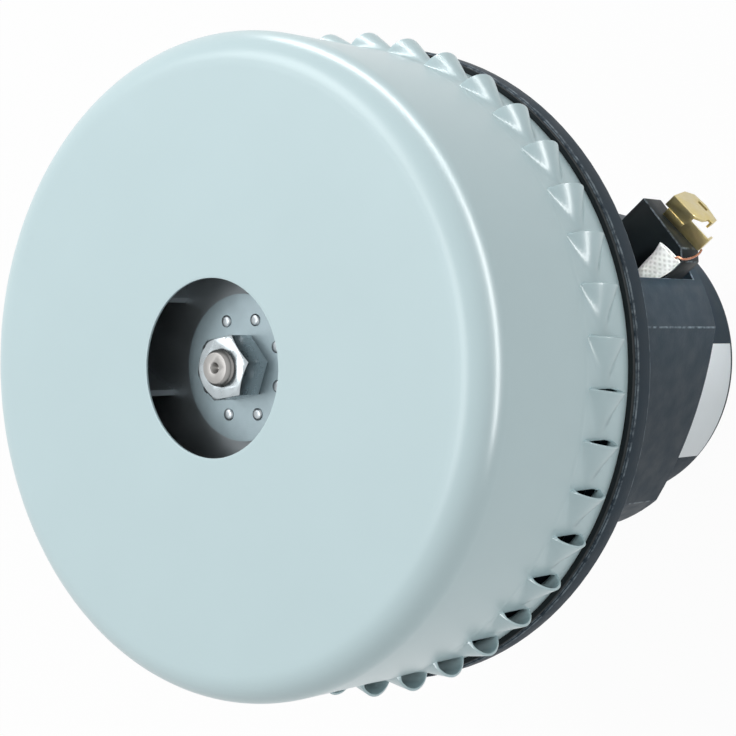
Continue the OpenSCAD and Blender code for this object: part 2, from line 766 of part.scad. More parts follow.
module wave_washer() color(steel_colour) polyhedron(
    points = flat([for (k = [0 : wave_steps - 1]) wave_corners(360 * k / wave_steps)]),
    faces = [for (k = [0 : wave_steps - 1]) for (m = [0 : 3])
        let (a = 4 * k, b = 4 * ((k + 1) % wave_steps), j = (m + 1) % 4) [a + m, a + j, b + j, b + m]],
    convexity = 4);

// Rear cover and cooling fan

module cover_bosses(r, z, h) around(cover_screws_n, cover_screw_turn)
    translate([cover_screw_at, 0, z]) cylinder(r = r, h = h);

module rear_cover() color(moulding_colour) difference() {
    union() {
        difference() {
            translate([0, 0, cover_h]) mirror([0, 0, 1]) rotate_extrude($fn = 144)
                can_outline(cover_r, cover_h, cover_fillet);
            disc(cover_in, cover_floor, cover_h);
            around(vent_count) bar(vent_in, vent_out, vent_w, -cut, cover_floor + 2 * cut);
        }
        cover_bosses(cover_boss_r, cover_floor / 2, cover_h - cover_floor / 2);
        cover_bosses(screw_head_r + boss_foot, cover_floor / 2, screw_head_h + boss_foot - cover_floor / 2);
    }
    cover_bosses(screw_r + fit, -cut, cover_h + 2 * cut);
    cover_bosses(screw_head_r + fit, -cut, screw_head_h + cut);
}

module cover_screws() color(bright_colour) {
    cover_bosses(screw_r, screw_head_h, cover_h + end_wall - screw_head_h);
    difference() {
        cover_bosses(screw_head_r, screw_sunk, screw_head_h - screw_sunk);
        around(cover_screws_n, cover_screw_turn) translate([cover_screw_at, 0, 0])
            cross_slot(-cut, cross_deep + cut);
    }
}

// Thin label on the cover's side, over part of a turn
module rating_label() color("#e0edf2") intersection() {
    tube(cover_r + label_t, cover_r, label_z, label_h);
    far = 2 * cover_r;
    linear_extrude(height = cover_h) polygon([[0, 0], far * [cos(label_from), sin(label_from)],
        far * [cos(label_from + label_span), sin(label_from + label_span)]]);
}

module cooling_fan() color(black_colour) difference() {
    union() {
        disc(cooling_r, fan_top - fan_disc, fan_disc);
        disc(fan_hub_r, z_fan, fan_top - z_fan);
        around(fan_blades)
            bar(fan_hub_r - blade_t, cooling_r - blade_inset, blade_t, z_fan, fan_top - z_fan);
    }
    disc(fan_shaft_r, z_fan - cut, fan_top - z_fan + 2 * cut);
}

module fan_clip() color(steel_colour)
    tube(fan_shaft_r + ring_w, fan_shaft_r - ring_groove, z_fan - ring_t, ring_t);

// Brush gear on the +X side

// Holder filling the width of its window, with a bevel beside the lead and a flange behind the window
module brush_holder() difference() {
    union() {
        translate([0, 0, brush_z - holder_h / 2]) linear_extrude(height = holder_h)
            polygon([[holder_start, -holder_w / 2], [holder_reach - holder_bevel[0], -holder_w / 2],
                [holder_reach, holder_bevel[1] - holder_w / 2], [holder_reach, holder_w / 2],
                [holder_start, holder_w / 2]]);
        bar(holder_start, holder_start + flange_t, 2 * flange_half, brush_z - holder_h / 2, holder_h);
    }
    bar(holder_start - cut, tube_end, tube_w + 2 * fit, brush_z - tube_h / 2 - fit, tube_h + 2 * fit);
}

module brush_tube() difference() {
    bar(tube_start, tube_end, tube_w, brush_z - tube_h / 2, tube_h);
    bar(tube_start - cut, tube_end + cut, tube_in_w, brush_z - tube_in_h / 2, tube_in_h);
}

module carbon_brush() difference() {
    bar(commutator_r - cut, brush_end, brush_w, brush_z - brush_h / 2, brush_h);
    disc(brush_start, brush_z - brush_h, 2 * brush_h);
}

module brush_spring() {
    per_turn = 12;
    steps = spring_turns * per_turn;
    from = brush_end + spring_wire + brush_gap;
    reach = tube_end - spring_wire - brush_gap - from;
    route = [for (k = [0 : steps]) [from + reach * k / steps, spring_r * cos(360 * k / per_turn),
        brush_z + spring_r * sin(360 * k / per_turn)]];
    sides = 6;
    swept([for (k = [0 : steps]) ring(route[k], along(route, k), [1, 0, 0], spring_wire, spring_wire, sides)],
        sides);
}

// Folded brass clip: base on the holder, front wall with a pressed bar, slotted roof with a prong, end cup
module terminal_clip() translate([holder_reach, clip_at[0], brush_z + clip_at[1]])
    rotate([clip_turn - 90, 0, 0]) rotate([0, 90, 0]) difference() {
        union() {
            cube([base_l, base_d, brass_t]);
            cube([fold_l, brass_t, clip_h]);
            cube([clip_l, brass_t, cup_h]);
            translate([clip_l - brass_t, 0, 0]) cube([brass_t, cup_d, cup_h]);
            translate([0, 0, clip_h - brass_t]) linear_extrude(height = brass_t) polygon(roof_outline);
            translate([prong_at[0], prong_at[1], clip_h - prong_h]) cube([brass_t, prong_l, prong_h]);
            translate([bar_at[0], -bar_out, bar_at[1]]) cube([bar_size[0], bar_out + brass_t, bar_size[1]]);
        }
        translate([slot_at[0], slot_at[1], clip_h - brass_t - cut])
            cube([slot_size[0], slot_size[1], brass_t + 2 * cut]);
        translate([-cut, -bar_out - cut, -cut])
            cube([foot_set + cut, base_d + bar_out + 2 * cut, foot_h + cut]);
    }

// Ring across a route at its point i, w and h being half its width and height
function lead_ring(route, i, w, h, sides) = ring(route[i], along(route, i), [0, 1, 0], w, h, sides);

// Rings of a sleeve's skin, smaller all round by inset
function sleeve_rings(inset, sides) = [for (i = [0 : len(sleeve_route) - 1])
    lead_ring(sleeve_route, i, sleeve_w[i] - inset, sleeve_h[i] - inset, sides)];

module lead_sleeve() translate([0, 0, brush_z]) {
    sides = 12;
    swept_tube(sleeve_rings(0, sides), sleeve_rings(sleeve_wall, sides), sides);
}

module lead_wire() translate([0, 0, brush_z]) {
    sides = 8;
    swept([for (i = [0 : len(wire_route) - 1]) lead_ring(wire_route, i, wire_r, wire_r, sides)], sides);
}

module brush_holder_a() color(black_colour) brush_holder();
module brush_holder_b() color(black_colour) rotate([0, 0, 180]) brush_holder();
module brush_tube_a() color(brass_colour) brush_tube();
module brush_tube_b() color(brass_colour) rotate([0, 0, 180]) brush_tube();
module terminal_clip_a() color(brass_colour) terminal_clip();
module terminal_clip_b() color(brass_colour) rotate([0, 0, 180]) terminal_clip();
module brush_spring_a() color(steel_colour) brush_spring();
module brush_spring_b() color(steel_colour) rotate([0, 0, 180]) brush_spring();
module carbon_brush_a() color("#2a2b2d") carbon_brush();
module carbon_brush_b() color("#2a2b2d") rotate([0, 0, 180]) carbon_brush();
module lead_sleeve_a() color("#e6eaea") lead_sleeve();
module lead_sleeve_b() color("#e6eaea") rotate([0, 0, 180]) lead_sleeve();
module lead_wire_a() color(copper_colour) lead_wire();
module lead_wire_b() color(copper_colour) rotate([0, 0, 180]) lead_wire();

fan_shell();
shell_seal();
motor_housing();
bearing_bracket();
bracket_screws();
diffuser_front_disc();
diffuser_vanes();
diffuser_rear_disc();
stator_core();
field_coil_a();
field_coil_b();
rear_cover();
cover_screws();
rating_label();
fan_bearing_outer();
fan_bearing_shields();
fan_bearing_inner();
fan_bearing_balls();
fan_bearing_cage();
rear_bearing_outer();
rear_bearing_shields();
rear_bearing_inner();
rear_bearing_balls();
rear_bearing_cage();
wave_washer();
brush_holder_a();
brush_holder_b();
brush_tube_a();
brush_tube_b();
terminal_clip_a();
terminal_clip_b();
brush_spring_a();
brush_spring_b();
carbon_brush_a();
carbon_brush_b();
lead_sleeve_a();
lead_sleeve_b();
lead_wire_a();
lead_wire_b();
shaft();
armature_core();
armature_winding();
commutator_bars();
commutator_hub();
first_impeller_front();
first_impeller_vanes();
first_impeller_back();
first_hub_disc();
first_hub_rivets();
second_impeller_front();
second_impeller_vanes();
second_impeller_back();
second_hub_disc();
second_hub_rivets();
stage_spacer();
bearing_spacer();
fan_nut();
cooling_fan();
fan_clip();
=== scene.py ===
"""Suction motor of a vacuum cleaner, dressed over its solid model.

The louvred fan shell, the riveted hub, the brush gear and the leads are made here. The other parts keep
their solid shape, some with softened edges, and get the finish of the real material.
"""
import json
import math

import bmesh
import bpy
from bpy.props import FloatProperty, FloatVectorProperty, IntProperty, PointerProperty
from mathutils import Matrix, Vector


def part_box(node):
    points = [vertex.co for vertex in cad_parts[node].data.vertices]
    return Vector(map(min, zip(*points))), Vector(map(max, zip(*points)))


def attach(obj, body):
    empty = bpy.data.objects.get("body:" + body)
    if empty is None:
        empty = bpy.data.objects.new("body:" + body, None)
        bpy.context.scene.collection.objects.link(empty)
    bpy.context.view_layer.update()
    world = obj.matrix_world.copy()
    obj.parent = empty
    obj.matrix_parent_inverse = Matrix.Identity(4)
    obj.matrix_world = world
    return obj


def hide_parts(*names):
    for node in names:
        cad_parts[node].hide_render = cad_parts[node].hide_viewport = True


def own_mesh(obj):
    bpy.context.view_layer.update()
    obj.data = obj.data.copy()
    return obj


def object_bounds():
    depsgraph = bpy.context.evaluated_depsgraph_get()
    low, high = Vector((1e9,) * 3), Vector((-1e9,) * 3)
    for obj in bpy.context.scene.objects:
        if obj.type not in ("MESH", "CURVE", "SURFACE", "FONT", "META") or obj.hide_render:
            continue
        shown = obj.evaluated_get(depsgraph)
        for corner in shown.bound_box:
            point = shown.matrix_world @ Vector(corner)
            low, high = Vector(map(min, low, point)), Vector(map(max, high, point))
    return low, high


bl_info = {
    "name": "Vacuum motor unit",
    "version": (1, 0, 0),
    "blender": (4, 5, 0),
    "location": "3D View > Sidebar > Vacuum motor",
    "description": "Builds the visible pieces and finishes of a suction motor over its solid model",
    "category": "Object",
}

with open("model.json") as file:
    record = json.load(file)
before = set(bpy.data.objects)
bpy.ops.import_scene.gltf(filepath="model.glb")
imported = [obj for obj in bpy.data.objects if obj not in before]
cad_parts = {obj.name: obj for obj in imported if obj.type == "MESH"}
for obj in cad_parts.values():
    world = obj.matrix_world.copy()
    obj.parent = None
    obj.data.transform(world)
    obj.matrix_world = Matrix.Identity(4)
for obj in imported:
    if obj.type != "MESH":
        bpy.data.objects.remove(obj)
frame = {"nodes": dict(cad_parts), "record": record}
CAD_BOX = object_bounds()
NODES = frame["nodes"]
MM = 0.001
# Mesh mark of bevelled edges that get paler flecks: rubbed wear and painted highlight
EDGE_WEAR_AND_SHEEN = "worn edge"
SPECULAR = "Specular IOR Level"
HALF_TURN = Matrix.Rotation(math.pi, 4, "Z")


def linear(code):
    """Linear colour with alpha from an sRGB hex code."""
    channels = [int(code[k:k + 2], 16) / 255 for k in (1, 3, 5)]
    return tuple(c / 12.92 if c <= 0.04045 else ((c + 0.055) / 1.055) ** 2.4 for c in channels) + (1.0,)


def colour_property(label, words, code):
    """Colour swatch of the finish settings."""
    return FloatVectorProperty(name=label, description=words, subtype="COLOR", size=4, min=0, max=1,
                               default=linear(code))


def length_property(label, words, size):
    """Length in metres, given here in millimetres."""
    return FloatProperty(name=label, description=words, unit="LENGTH", default=size * MM)


class FanShellSettings(bpy.types.PropertyGroup):
    """Sizes of the pressed fan shell and its louvres."""

    radius: length_property("Radius", "Outside radius of the drum", 72)
    fillet: length_property("Corner", "Outside radius of the rounded front corner", 6.8)
    inlet: length_property("Inlet", "Radius of the inlet hole", 19.2)
    inlet_edge: length_property("Inlet edge", "Thickness of the sheet at the edge of the inlet", 0.5)
    sheet: length_property("Sheet", "Thickness of the sheet", 1.2)
    lip: length_property("Lip", "Thickness of the sheet at a louvre's lip", 0.55)
    louvres: IntProperty(name="Louvres", description="Number of louvres round the shell", default=42, min=3)
    mouth_length: length_property("Mouth length", "Length of a louvre mouth along the shaft", 12.5)
    rise: length_property("Rise", "Height of a louvre mouth above the drum", 3.9)
    run: length_property("Run", "Length of a louvre behind its mouth", 8)
    edge: length_property("Edge", "Plain strip between the louvres and the open edge", 2.9)
    skew: length_property("Skew", "How far a mouth's rear end falls behind its front end", 0.7)
    turn: FloatProperty(name="Turn", description="Position of the first louvre mouth", subtype="ANGLE",
                        default=math.radians(8.4))


class HubSettings(bpy.types.PropertyGroup):
    """Sizes of the riveted hub discs."""

    rivets: IntProperty(name="Rivets", description="Number of rivets in a hub disc", default=8, min=1)
    circle: length_property("Circle", "Radius of the rivet circle", 11)
    head: length_property("Head", "Radius of a rivet head", 1.35)
    shank: length_property("Shank", "Radius of a rivet shank", 1)
    dome: length_property("Dome", "Height of a rivet head", 0.5)
    turn: FloatProperty(name="Turn", description="Position of the first rivet", subtype="ANGLE",
                        default=math.radians(-15.5))


class BrushGearSettings(bpy.types.PropertyGroup):
    """Sizes of the brush springs, sleeves and leads."""

    level: length_property("Level", "Height of the brushes above the base", 37.9)
    spring_turns: IntProperty(name="Spring turns", description="Turns of a brush spring", default=7, min=1)
    spring_radius: length_property("Spring radius", "Radius to the middle of the spring wire", 2.5)
    spring_wire: length_property("Spring wire", "Radius of the spring wire", 0.35)
    lead_wire: length_property("Lead wire", "Radius of a lead's bare wire", 0.3)


class FinishSettings(bpy.types.PropertyGroup):
    """Colours of the finishes."""

    sheet: colour_property("Shell sheet", "Lacquered steel of the fan shell", "#c2d8dc")
    moulding: colour_property("Moulding", "Motor body and rear cover", "#28353f")
    # Paler colours of bevelled edges: partly rubbed wear, partly painted highlight of edges catching the
    # light
    moulding_edge_wear_and_sheen: colour_property("Moulding edges", "Rubbed edges of the motor body and cover", "#727e86")
    phenolic: colour_property("Phenolic", "Brush holders and cooling fan", "#101517")
    phenolic_edge_wear_and_sheen: colour_property("Phenolic edges", "Rubbed edges of the brush holders", "#4d565c")
    rubber: colour_property("Rubber", "Seal behind the shell", "#10191c")
    brass: colour_property("Brass", "Clips and brush tubes", "#c8bc94")
    tarnish: colour_property("Tarnish", "Dark patches on the brass", "#b5a56a")
    zinc: colour_property("Zinc plate", "Nut and screws", "#b8c1c5")
    bar: colour_property("Ground bar", "Shaft", "#a3a2a0")
    steel: colour_property("Rolled steel", "Hub discs, spacers and rings", "#98a8ae")
    aluminium: colour_property("Aluminium", "Impellers and diffuser", "#a9b0b4")
    copper: colour_property("Copper", "Windings and wires", "#b27c64")
    sleeve: colour_property("Sleeve", "Woven glass-fibre sleeving", "#f0f3f1")
    label: colour_property("Label", "Plain label film", "#ecf4f8")


class StageSettings(bpy.types.PropertyGroup):
    """Camera and light of the studio."""

    lens: FloatProperty(name="Lens", description="Focal length on a 36 mm wide sensor", unit="CAMERA",
                        default=90.99)
    azimuth: FloatProperty(name="Azimuth", description="Direction of the camera from the first brush",
                           subtype="ANGLE", default=math.radians(-38))
    tilt: FloatProperty(name="Tilt", description="Angle between the view and the shaft", subtype="ANGLE",
                        default=0.6734)
    roll: FloatProperty(name="Roll", description="Turn of the camera about its view", subtype="ANGLE",
                        default=0.025)
    out: length_property("Out", "Distance of the camera from the shaft", 272.58)
    aside: length_property("Aside", "Sideways place of the camera", -0.79)
    height: length_property("Height", "Height of the camera above the base", 451.95)
    ambient: FloatProperty(name="Ambient", description="Strength of the light from all round", min=0,
                           default=0.55)


GROUPS = {
    "motor_shell": FanShellSettings,
    "motor_hub": HubSettings,
    "motor_brush": BrushGearSettings,
    "motor_finish": FinishSettings,
    "motor_stage": StageSettings,
}


def add(tree, kind, values=None, links=None, **settings):
    """Adds a node with its settings, socket values and links, and returns it."""
    made = tree.nodes.new(kind)
    for key, value in settings.items():
        setattr(made, key, value)
    for key, value in (values or {}).items():
        made.inputs[key].default_value = value
    for key, source in (links or {}).items():
        tree.links.new(source, made.inputs[key])
    return made


def per_mm(size):
    """Texture scale whose pattern repeats about every size millimetres."""
    return 1 / (size * MM)


def waves(size):
    """Wave texture scale whose bands lie size millimetres apart."""
    return per_mm(size) * 2 * math.pi / 20


def shaded(colour, factor):
    """Lighter or darker copy of a linear colour."""
    return tuple(min(1, c * factor) for c in colour[:3]) + (1.0,)


def shades(colour, low, high):
    """Darker and lighter copy of a linear colour."""
    return shaded(colour, low), shaded(colour, high)


def blank_material(name):
    """Material without a surface yet, and the Object coordinates its patterns read."""
    material = bpy.data.materials.new(name)
    material.use_nodes = True
    tree = material.node_tree
    tree.nodes.clear()
    place = add(tree, "ShaderNodeTexCoord").outputs["Object"]
    return material, tree, place


def tinted(tree, dark, light, share):
    """Colour between two others, by a share from 0 to 1."""
    mixed = add(tree, "ShaderNodeMix", {"A": dark, "B": light}, {"Factor": share}, data_type="RGBA")
    return mixed.outputs["Result"]


def embossed(tree, height, depth, strength=1.0, invert=False):
    """Normal of a relief that many millimetres deep."""
    relief = add(tree, "ShaderNodeBump", {"Strength": strength, "Distance": depth * MM}, {"Height": height},
                 invert=invert)
    return relief.outputs["Normal"]


def coat(tree, colour, normal, values, links=None):
    """Surface of that colour and relief, joined to the output."""
    sources = {"Base Color": colour, "Normal": normal, **(links or {})}
    shader = add(tree, "ShaderNodeBsdfPrincipled", values, sources)
    add(tree, "ShaderNodeOutputMaterial", {}, {"Surface": shader.outputs["BSDF"]})


# Paler flecks on marked edges, partly rubbed wear and partly a painted highlight of edges catching the light:
# size in millimetres, and the noise at which a fleck starts and is full
FLECK_SIZE = 1.6
FLECK_RANGE = (0.38, 0.62)


def rubbed_and_lit(tree, place, colour, pale):
    """Colour that turns paler in flecks on the edges the mesh marks: rubbed wear and painted highlight of
    edges catching the light.
    """
    edge = add(tree, "ShaderNodeAttribute", attribute_name=EDGE_WEAR_AND_SHEEN)
    cloud = add(tree, "ShaderNodeTexNoise", {"Scale": per_mm(FLECK_SIZE), "Detail": 4.0}, {"Vector": place})
    fleck = add(tree, "ShaderNodeMapRange", {"From Min": FLECK_RANGE[0], "From Max": FLECK_RANGE[1]},
                {"Value": cloud.outputs["Fac"]})
    share = add(tree, "ShaderNodeMath", {}, {0: edge.outputs["Fac"], 1: fleck.outputs["Result"]},
                operation="MULTIPLY")
    mixed = add(tree, "ShaderNodeMix", {"B": pale}, {"Factor": share.outputs["Value"], "A": colour},
                data_type="RGBA")
    return mixed.outputs["Result"]


# Noise at which a finish is at its first and at its second roughness
CLOUD_RANGE = (0.3, 0.7)


def grained(name, dark, light, patch, rough, grain, depth, edge_wear_and_sheen=None, **surface):
    """Finish with soft patches between two colours, uneven gloss and a fine grain, sizes in millimetres."""
    material, tree, place = blank_material(name)
    cloud = add(tree, "ShaderNodeTexNoise", {"Scale": per_mm(patch), "Detail": 3.0}, {"Vector": place})
    span = {"From Min": CLOUD_RANGE[0], "From Max": CLOUD_RANGE[1], "To Min": rough[0], "To Max": rough[1]}
    gloss = add(tree, "ShaderNodeMapRange", span, {"Value": cloud.outputs["Fac"]})
    fine = add(tree, "ShaderNodeTexNoise", {"Scale": per_mm(grain), "Detail": 2.0}, {"Vector": place})
    colour = tinted(tree, dark, light, cloud.outputs["Fac"])
    # Paler flecks on marked edges: rubbed wear and painted highlight
    if edge_wear_and_sheen:
        colour = rubbed_and_lit(tree, place, colour, edge_wear_and_sheen)
    normal = embossed(tree, fine.outputs["Fac"], depth)
    coat(tree, colour, normal, surface, {"Roughness": gloss.outputs["Result"]})
    return material


def lacquered_sheet(colours):
    """Steel sheet, deep drawn and lacquered: even pale coat, soft wide highlights, faint clouding."""
    return grained("Lacquered steel, deep drawn", *shades(colours.sheet, 0.98, 1.02), patch=22,
                   rough=(0.28, 0.31), grain=3.5, depth=0.005, IOR=1.5, Metallic=0.0)


def filled_moulding(colours):
    """Glass-filled polyester, moulded: dull dark grey with paler flow marks, a fine rough skin, and paler
    flecks on its edges that are partly rubbed wear and partly painted highlight.
    """
    return grained("Glass-filled polyester, moulded", *shades(colours.moulding, 0.88, 1.14), patch=5,
                   rough=(0.45, 0.6), grain=0.55, depth=0.03, edge_wear_and_sheen=colours.moulding_edge_wear_and_sheen, Metallic=0.0,
                   **{SPECULAR: 0.1})


def phenolic_moulding(colours):
    """Phenolic, compression moulded: near black and smooth, with paler flecks on its sharp edges that are
    partly rubbed wear and partly a painted highlight of edges catching the light.
    """
    return grained("Phenolic, moulded", *shades(colours.phenolic, 0.85, 1.25), patch=4, rough=(0.3, 0.42),
                   grain=0.8, depth=0.01, edge_wear_and_sheen=colours.phenolic_edge_wear_and_sheen, Metallic=0.0, **{SPECULAR: 0.08})


def moulded_rubber(colours):
    """Nitrile rubber, moulded: black and dull, with a dusty bloom."""
    return grained("Nitrile rubber, moulded", *shades(colours.rubber, 0.8, 1.3), patch=3, rough=(0.55, 0.7),
                   grain=0.4, depth=0.02, Metallic=0.0, **{SPECULAR: 0.2})


def folded_brass(colours):
    """Brass strip, stamped and folded: yellow metal with patches of olive tarnish."""
    return grained("Brass strip, stamped", colours.tarnish, colours.brass, patch=2.4, rough=(0.42, 0.3),
                   grain=0.7, depth=0.005, Metallic=1.0)


def zinc_plate(colours):
    """Steel, zinc plated: bright bluish metal with slightly cloudy patches."""
    return grained("Steel, zinc plated", *shades(colours.zinc, 0.8, 1.1), patch=2.5, rough=(0.22, 0.36),
                   grain=0.5, depth=0.008, Metallic=1.0)


def ground_steel(colours):
    """Steel bar, ground: plain grey metal, darker than the plated parts."""
    return grained("Steel bar, ground", *shades(colours.bar, 0.88, 1.04), patch=2.5, rough=(0.3, 0.4),
                   grain=0.5, depth=0.008, Metallic=1.0)


def rolled_aluminium(colours):
    """Aluminium sheet, rolled: soft grey metal with dull clouds."""
    return grained("Aluminium sheet, rolled", *shades(colours.aluminium, 0.85, 1.05), patch=6,
                   rough=(0.47, 0.54), grain=0.5, depth=0.01, Metallic=1.0)


def headed_aluminium(colours):
    """Aluminium rivets, cold headed: pale metal, smoothed by the punch."""
    return grained("Aluminium, cold headed", *shades(colours.aluminium, 0.95, 1.15), patch=6,
                   rough=(0.28, 0.38), grain=0.5, depth=0.01, Metallic=1.0)


def drawn_copper(colours):
    """Copper, turned or drawn bare: clean red metal with light scratches."""
    return grained("Copper, drawn", *shades(colours.copper, 0.8, 1.2), patch=2, rough=(0.22, 0.34),
                   grain=0.3, depth=0.01, Metallic=1.0)


def pressed_carbon(colours):
    """Electrographite, pressed: dull charcoal with tiny bright flakes."""
    return grained("Electrographite, pressed", *shades(colours.phenolic, 1.2, 2.6), patch=0.5,
                   rough=(0.4, 0.6), grain=0.3, depth=0.02, IOR=1.8, Metallic=0.0)


def label_film(colours):
    """Polyester film, plain white: smooth, slightly glossy, with a trace of unevenness from the glue."""
    return grained("Polyester film, white", *shades(colours.label, 0.97, 1.02), patch=9, rough=(0.28, 0.36),
                   grain=2.5, depth=0.01, IOR=1.6, Metallic=0.0)


def wound_copper(colours):
    """Copper wire, enamelled and wound: shiny red-brown turns, drawn 0.9 mm apart so that they show."""
    material, tree, place = blank_material("Copper wire, enamelled")
    turns = add(tree, "ShaderNodeTexWave", {"Scale": waves(0.9), "Distortion": 1.5}, {"Vector": place},
                bands_direction="Z").outputs["Fac"]
    colour = tinted(tree, shaded(colours.copper, 0.55), colours.copper, turns)
    coat(tree, colour, embossed(tree, turns, 0.12), {"Metallic": 1.0, "Roughness": 0.3})
    return material


def turned_steel(colours):
    """Steel, stamped and turned: grey metal with rings round the shaft, 0.35 mm apart so that they show."""
    material, tree, place = blank_material("Steel, turned")
    rings = add(tree, "ShaderNodeTexWave", {"Scale": waves(0.35), "Distortion": 2.0, "Detail": 2.0},
                {"Vector": place}, wave_type="RINGS", rings_direction="Z").outputs["Fac"]
    cloud = add(tree, "ShaderNodeTexNoise", {"Scale": per_mm(4), "Detail": 3.0}, {"Vector": place})
    colour = tinted(tree, *shades(colours.steel, 0.82, 1.12), cloud.outputs["Fac"])
    coat(tree, colour, embossed(tree, rings, 0.006), {"Metallic": 1.0, "Roughness": 0.36})
    return material


def stacked_laminations(colours):
    """Electrical steel, stacked: dark grey with a line at each sheet, drawn 1 mm apart so that they show."""
    material, tree, place = blank_material("Electrical steel, stacked")
    sheets = add(tree, "ShaderNodeTexWave", {"Scale": waves(1.0)}, {"Vector": place}, bands_direction="Z",
                 wave_profile="SAW").outputs["Fac"]
    colour = tinted(tree, *shades(colours.steel, 0.3, 0.55), sheets)
    coat(tree, colour, embossed(tree, sheets, 0.05), {"Metallic": 1.0, "Roughness": 0.5})
    return material


def woven_sleeving(colours):
    """Glass fibre, braided: white shiny yarns crossing over and under each other, with small dark gaps."""
    material, tree, _ = blank_material("Glass fibre, braided")
    braid = add(tree, "ShaderNodeUVMap", uv_map="braid").outputs["UV"]
    yarns = []
    for angle in (45, -45):
        lean = add(tree, "ShaderNodeMapping", {"Rotation": (0, 0, math.radians(angle))}, {"Vector": braid})
        wave = add(tree, "ShaderNodeTexWave", {"Scale": waves(1.1), "Distortion": 0.6, "Detail": 1.0},
                   {"Vector": lean.outputs["Vector"]}, bands_direction="X")
        yarns.append(wave.outputs["Fac"])
    gaps = add(tree, "ShaderNodeMath", {}, dict(enumerate(yarns)), operation="MULTIPLY").outputs["Value"]
    colour = tinted(tree, colours.sleeve, shaded(colours.sleeve, 0.74), gaps)
    normal = embossed(tree, gaps, 0.2, strength=0.6, invert=True)
    coat(tree, colour, normal, {"Roughness": 0.6, "IOR": 1.5, "Sheen Weight": 0.2})
    return material


FINISH_OF_SLOT = {
    "shell_sheet": lacquered_sheet,
    "seal_rubber": moulded_rubber,
    "moulding": filled_moulding,
    "black_moulding": phenolic_moulding,
    "steel": turned_steel,
    "bright_steel": zinc_plate,
    "aluminium": rolled_aluminium,
    "lamination": stacked_laminations,
    "copper": wound_copper,
    "bar_copper": drawn_copper,
    "brass": folded_brass,
    "carbon": pressed_carbon,
    "sleeve_fabric": woven_sleeving,
    "label_stock": label_film,
}

FINISH_OF_NODE = {
    "first_hub_rivets": headed_aluminium,
    "second_hub_rivets": headed_aluminium,
    "lead_wire_a": drawn_copper,
    "lead_wire_b": drawn_copper,
    "shaft": ground_steel,
}

SLOT_OF_NODE = {part["node"]: part["material_slot"] for part in frame["record"]["subparts"]}
BODIES = frame["record"]["behaviour"]["bodies"]
BODY_OF_NODE = {node: body for body, nodes in BODIES.items() for node in nodes}
made_finishes = {}


def finish_of(node):
    """Material of a part, its own or that of its slot, made once."""
    maker = FINISH_OF_NODE.get(node) or FINISH_OF_SLOT[SLOT_OF_NODE[node]]
    if maker not in made_finishes:
        made_finishes[maker] = maker(bpy.context.scene.motor_finish)
    return made_finishes[maker]


def show(name, mesh):
    """Object at the origin with that mesh."""
    piece = bpy.data.objects.new(name, mesh)
    bpy.context.scene.collection.objects.link(piece)
    return piece


def settle(piece, *nodes):
    """The piece stands for these solids and moves with their body."""
    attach(piece, BODY_OF_NODE[nodes[0]])
    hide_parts(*nodes)


def flatten(piece):
    """Replaces a piece's mesh by what its modifiers make of it."""
    scene_graph = bpy.context.evaluated_depsgraph_get()
    mesh = bpy.data.meshes.new_from_object(piece.evaluated_get(scene_graph), depsgraph=scene_graph)
    mesh.name = piece.name
    piece.modifiers.clear()
    piece.data = mesh


def mesh_of(name, points, faces):
    """Mesh from points in millimetres."""
    mesh = bpy.data.meshes.new(name)
    mesh.from_pydata([(x * MM, y * MM, z * MM) for x, y, z in points], [], faces)
    return mesh


def smooth(piece, angle):
    """Smooth shading with edges kept sharp above that angle in degrees."""
    piece.data.polygons.foreach_set("use_smooth", [True] * len(piece.data.polygons))
    piece.data.set_sharp_from_angle(angle=math.radians(angle))


def mark_wear_and_sheen(mesh):
    """Turns the faces of the second material into a mark for edges with rubbed wear and painted highlight,
    and drops that material.
    """
    places = [polygon.material_index for polygon in mesh.polygons]
    mark = mesh.attributes.new(EDGE_WEAR_AND_SHEEN, "FLOAT", "FACE")
    mark.data.foreach_set("value", [float(place) for place in places])
    mesh.polygons.foreach_set("material_index", [0] * len(places))
    mesh.materials.pop(index=1)


def turn_faces_out(mesh):
    """Points the faces of a closed mesh outwards."""
    shape = bmesh.new()
    shape.from_mesh(mesh)
    bmesh.ops.recalc_face_normals(shape, faces=shape.faces)
    shape.to_mesh(mesh)
    shape.free()


def round_edges(piece, width, angle):
    """Bevel of that width in millimetres on edges sharper than that angle in degrees."""
    rounding = piece.modifiers.new("Edge", "BEVEL")
    rounding.width = width * MM
    rounding.segments = 2
    rounding.limit_method = "ANGLE"
    rounding.angle_limit = math.radians(angle)
    return rounding


# How near points of a solid are joined, in millimetres, and how flat its triangles merge, in degrees
WELD = 0.002
FLAT = 0.5


def soften(node, width, angle=30, edge_wear_and_sheen=False):
    """Copy of a solid part with its sharp edges rounded by width millimetres, and marked for rubbed wear and
    painted highlight if asked.
    """
    shape = bmesh.new()
    shape.from_mesh(NODES[node].data)
    bmesh.ops.remove_doubles(shape, verts=shape.verts, dist=WELD * MM)
    bmesh.ops.dissolve_limit(shape, angle_limit=math.radians(FLAT), verts=shape.verts, edges=shape.edges)
    mesh = bpy.data.meshes.new(node + "_skin")
    shape.to_mesh(mesh)
    shape.free()
    mesh.materials.clear()
    mesh.materials.append(finish_of(node))
    piece = show(node + "_skin", mesh)
    rounding = round_edges(piece, width, angle)
    if edge_wear_and_sheen:
        mesh.materials.append(finish_of(node))
        rounding.material = 1
    flatten(piece)
    if edge_wear_and_sheen:
        mark_wear_and_sheen(piece.data)
    smooth(piece, angle)
    settle(piece, node)


def ease(x):
    """Smooth step from 0 to 1."""
    x = min(1, max(0, x))
    return x * x * (3 - 2 * x)


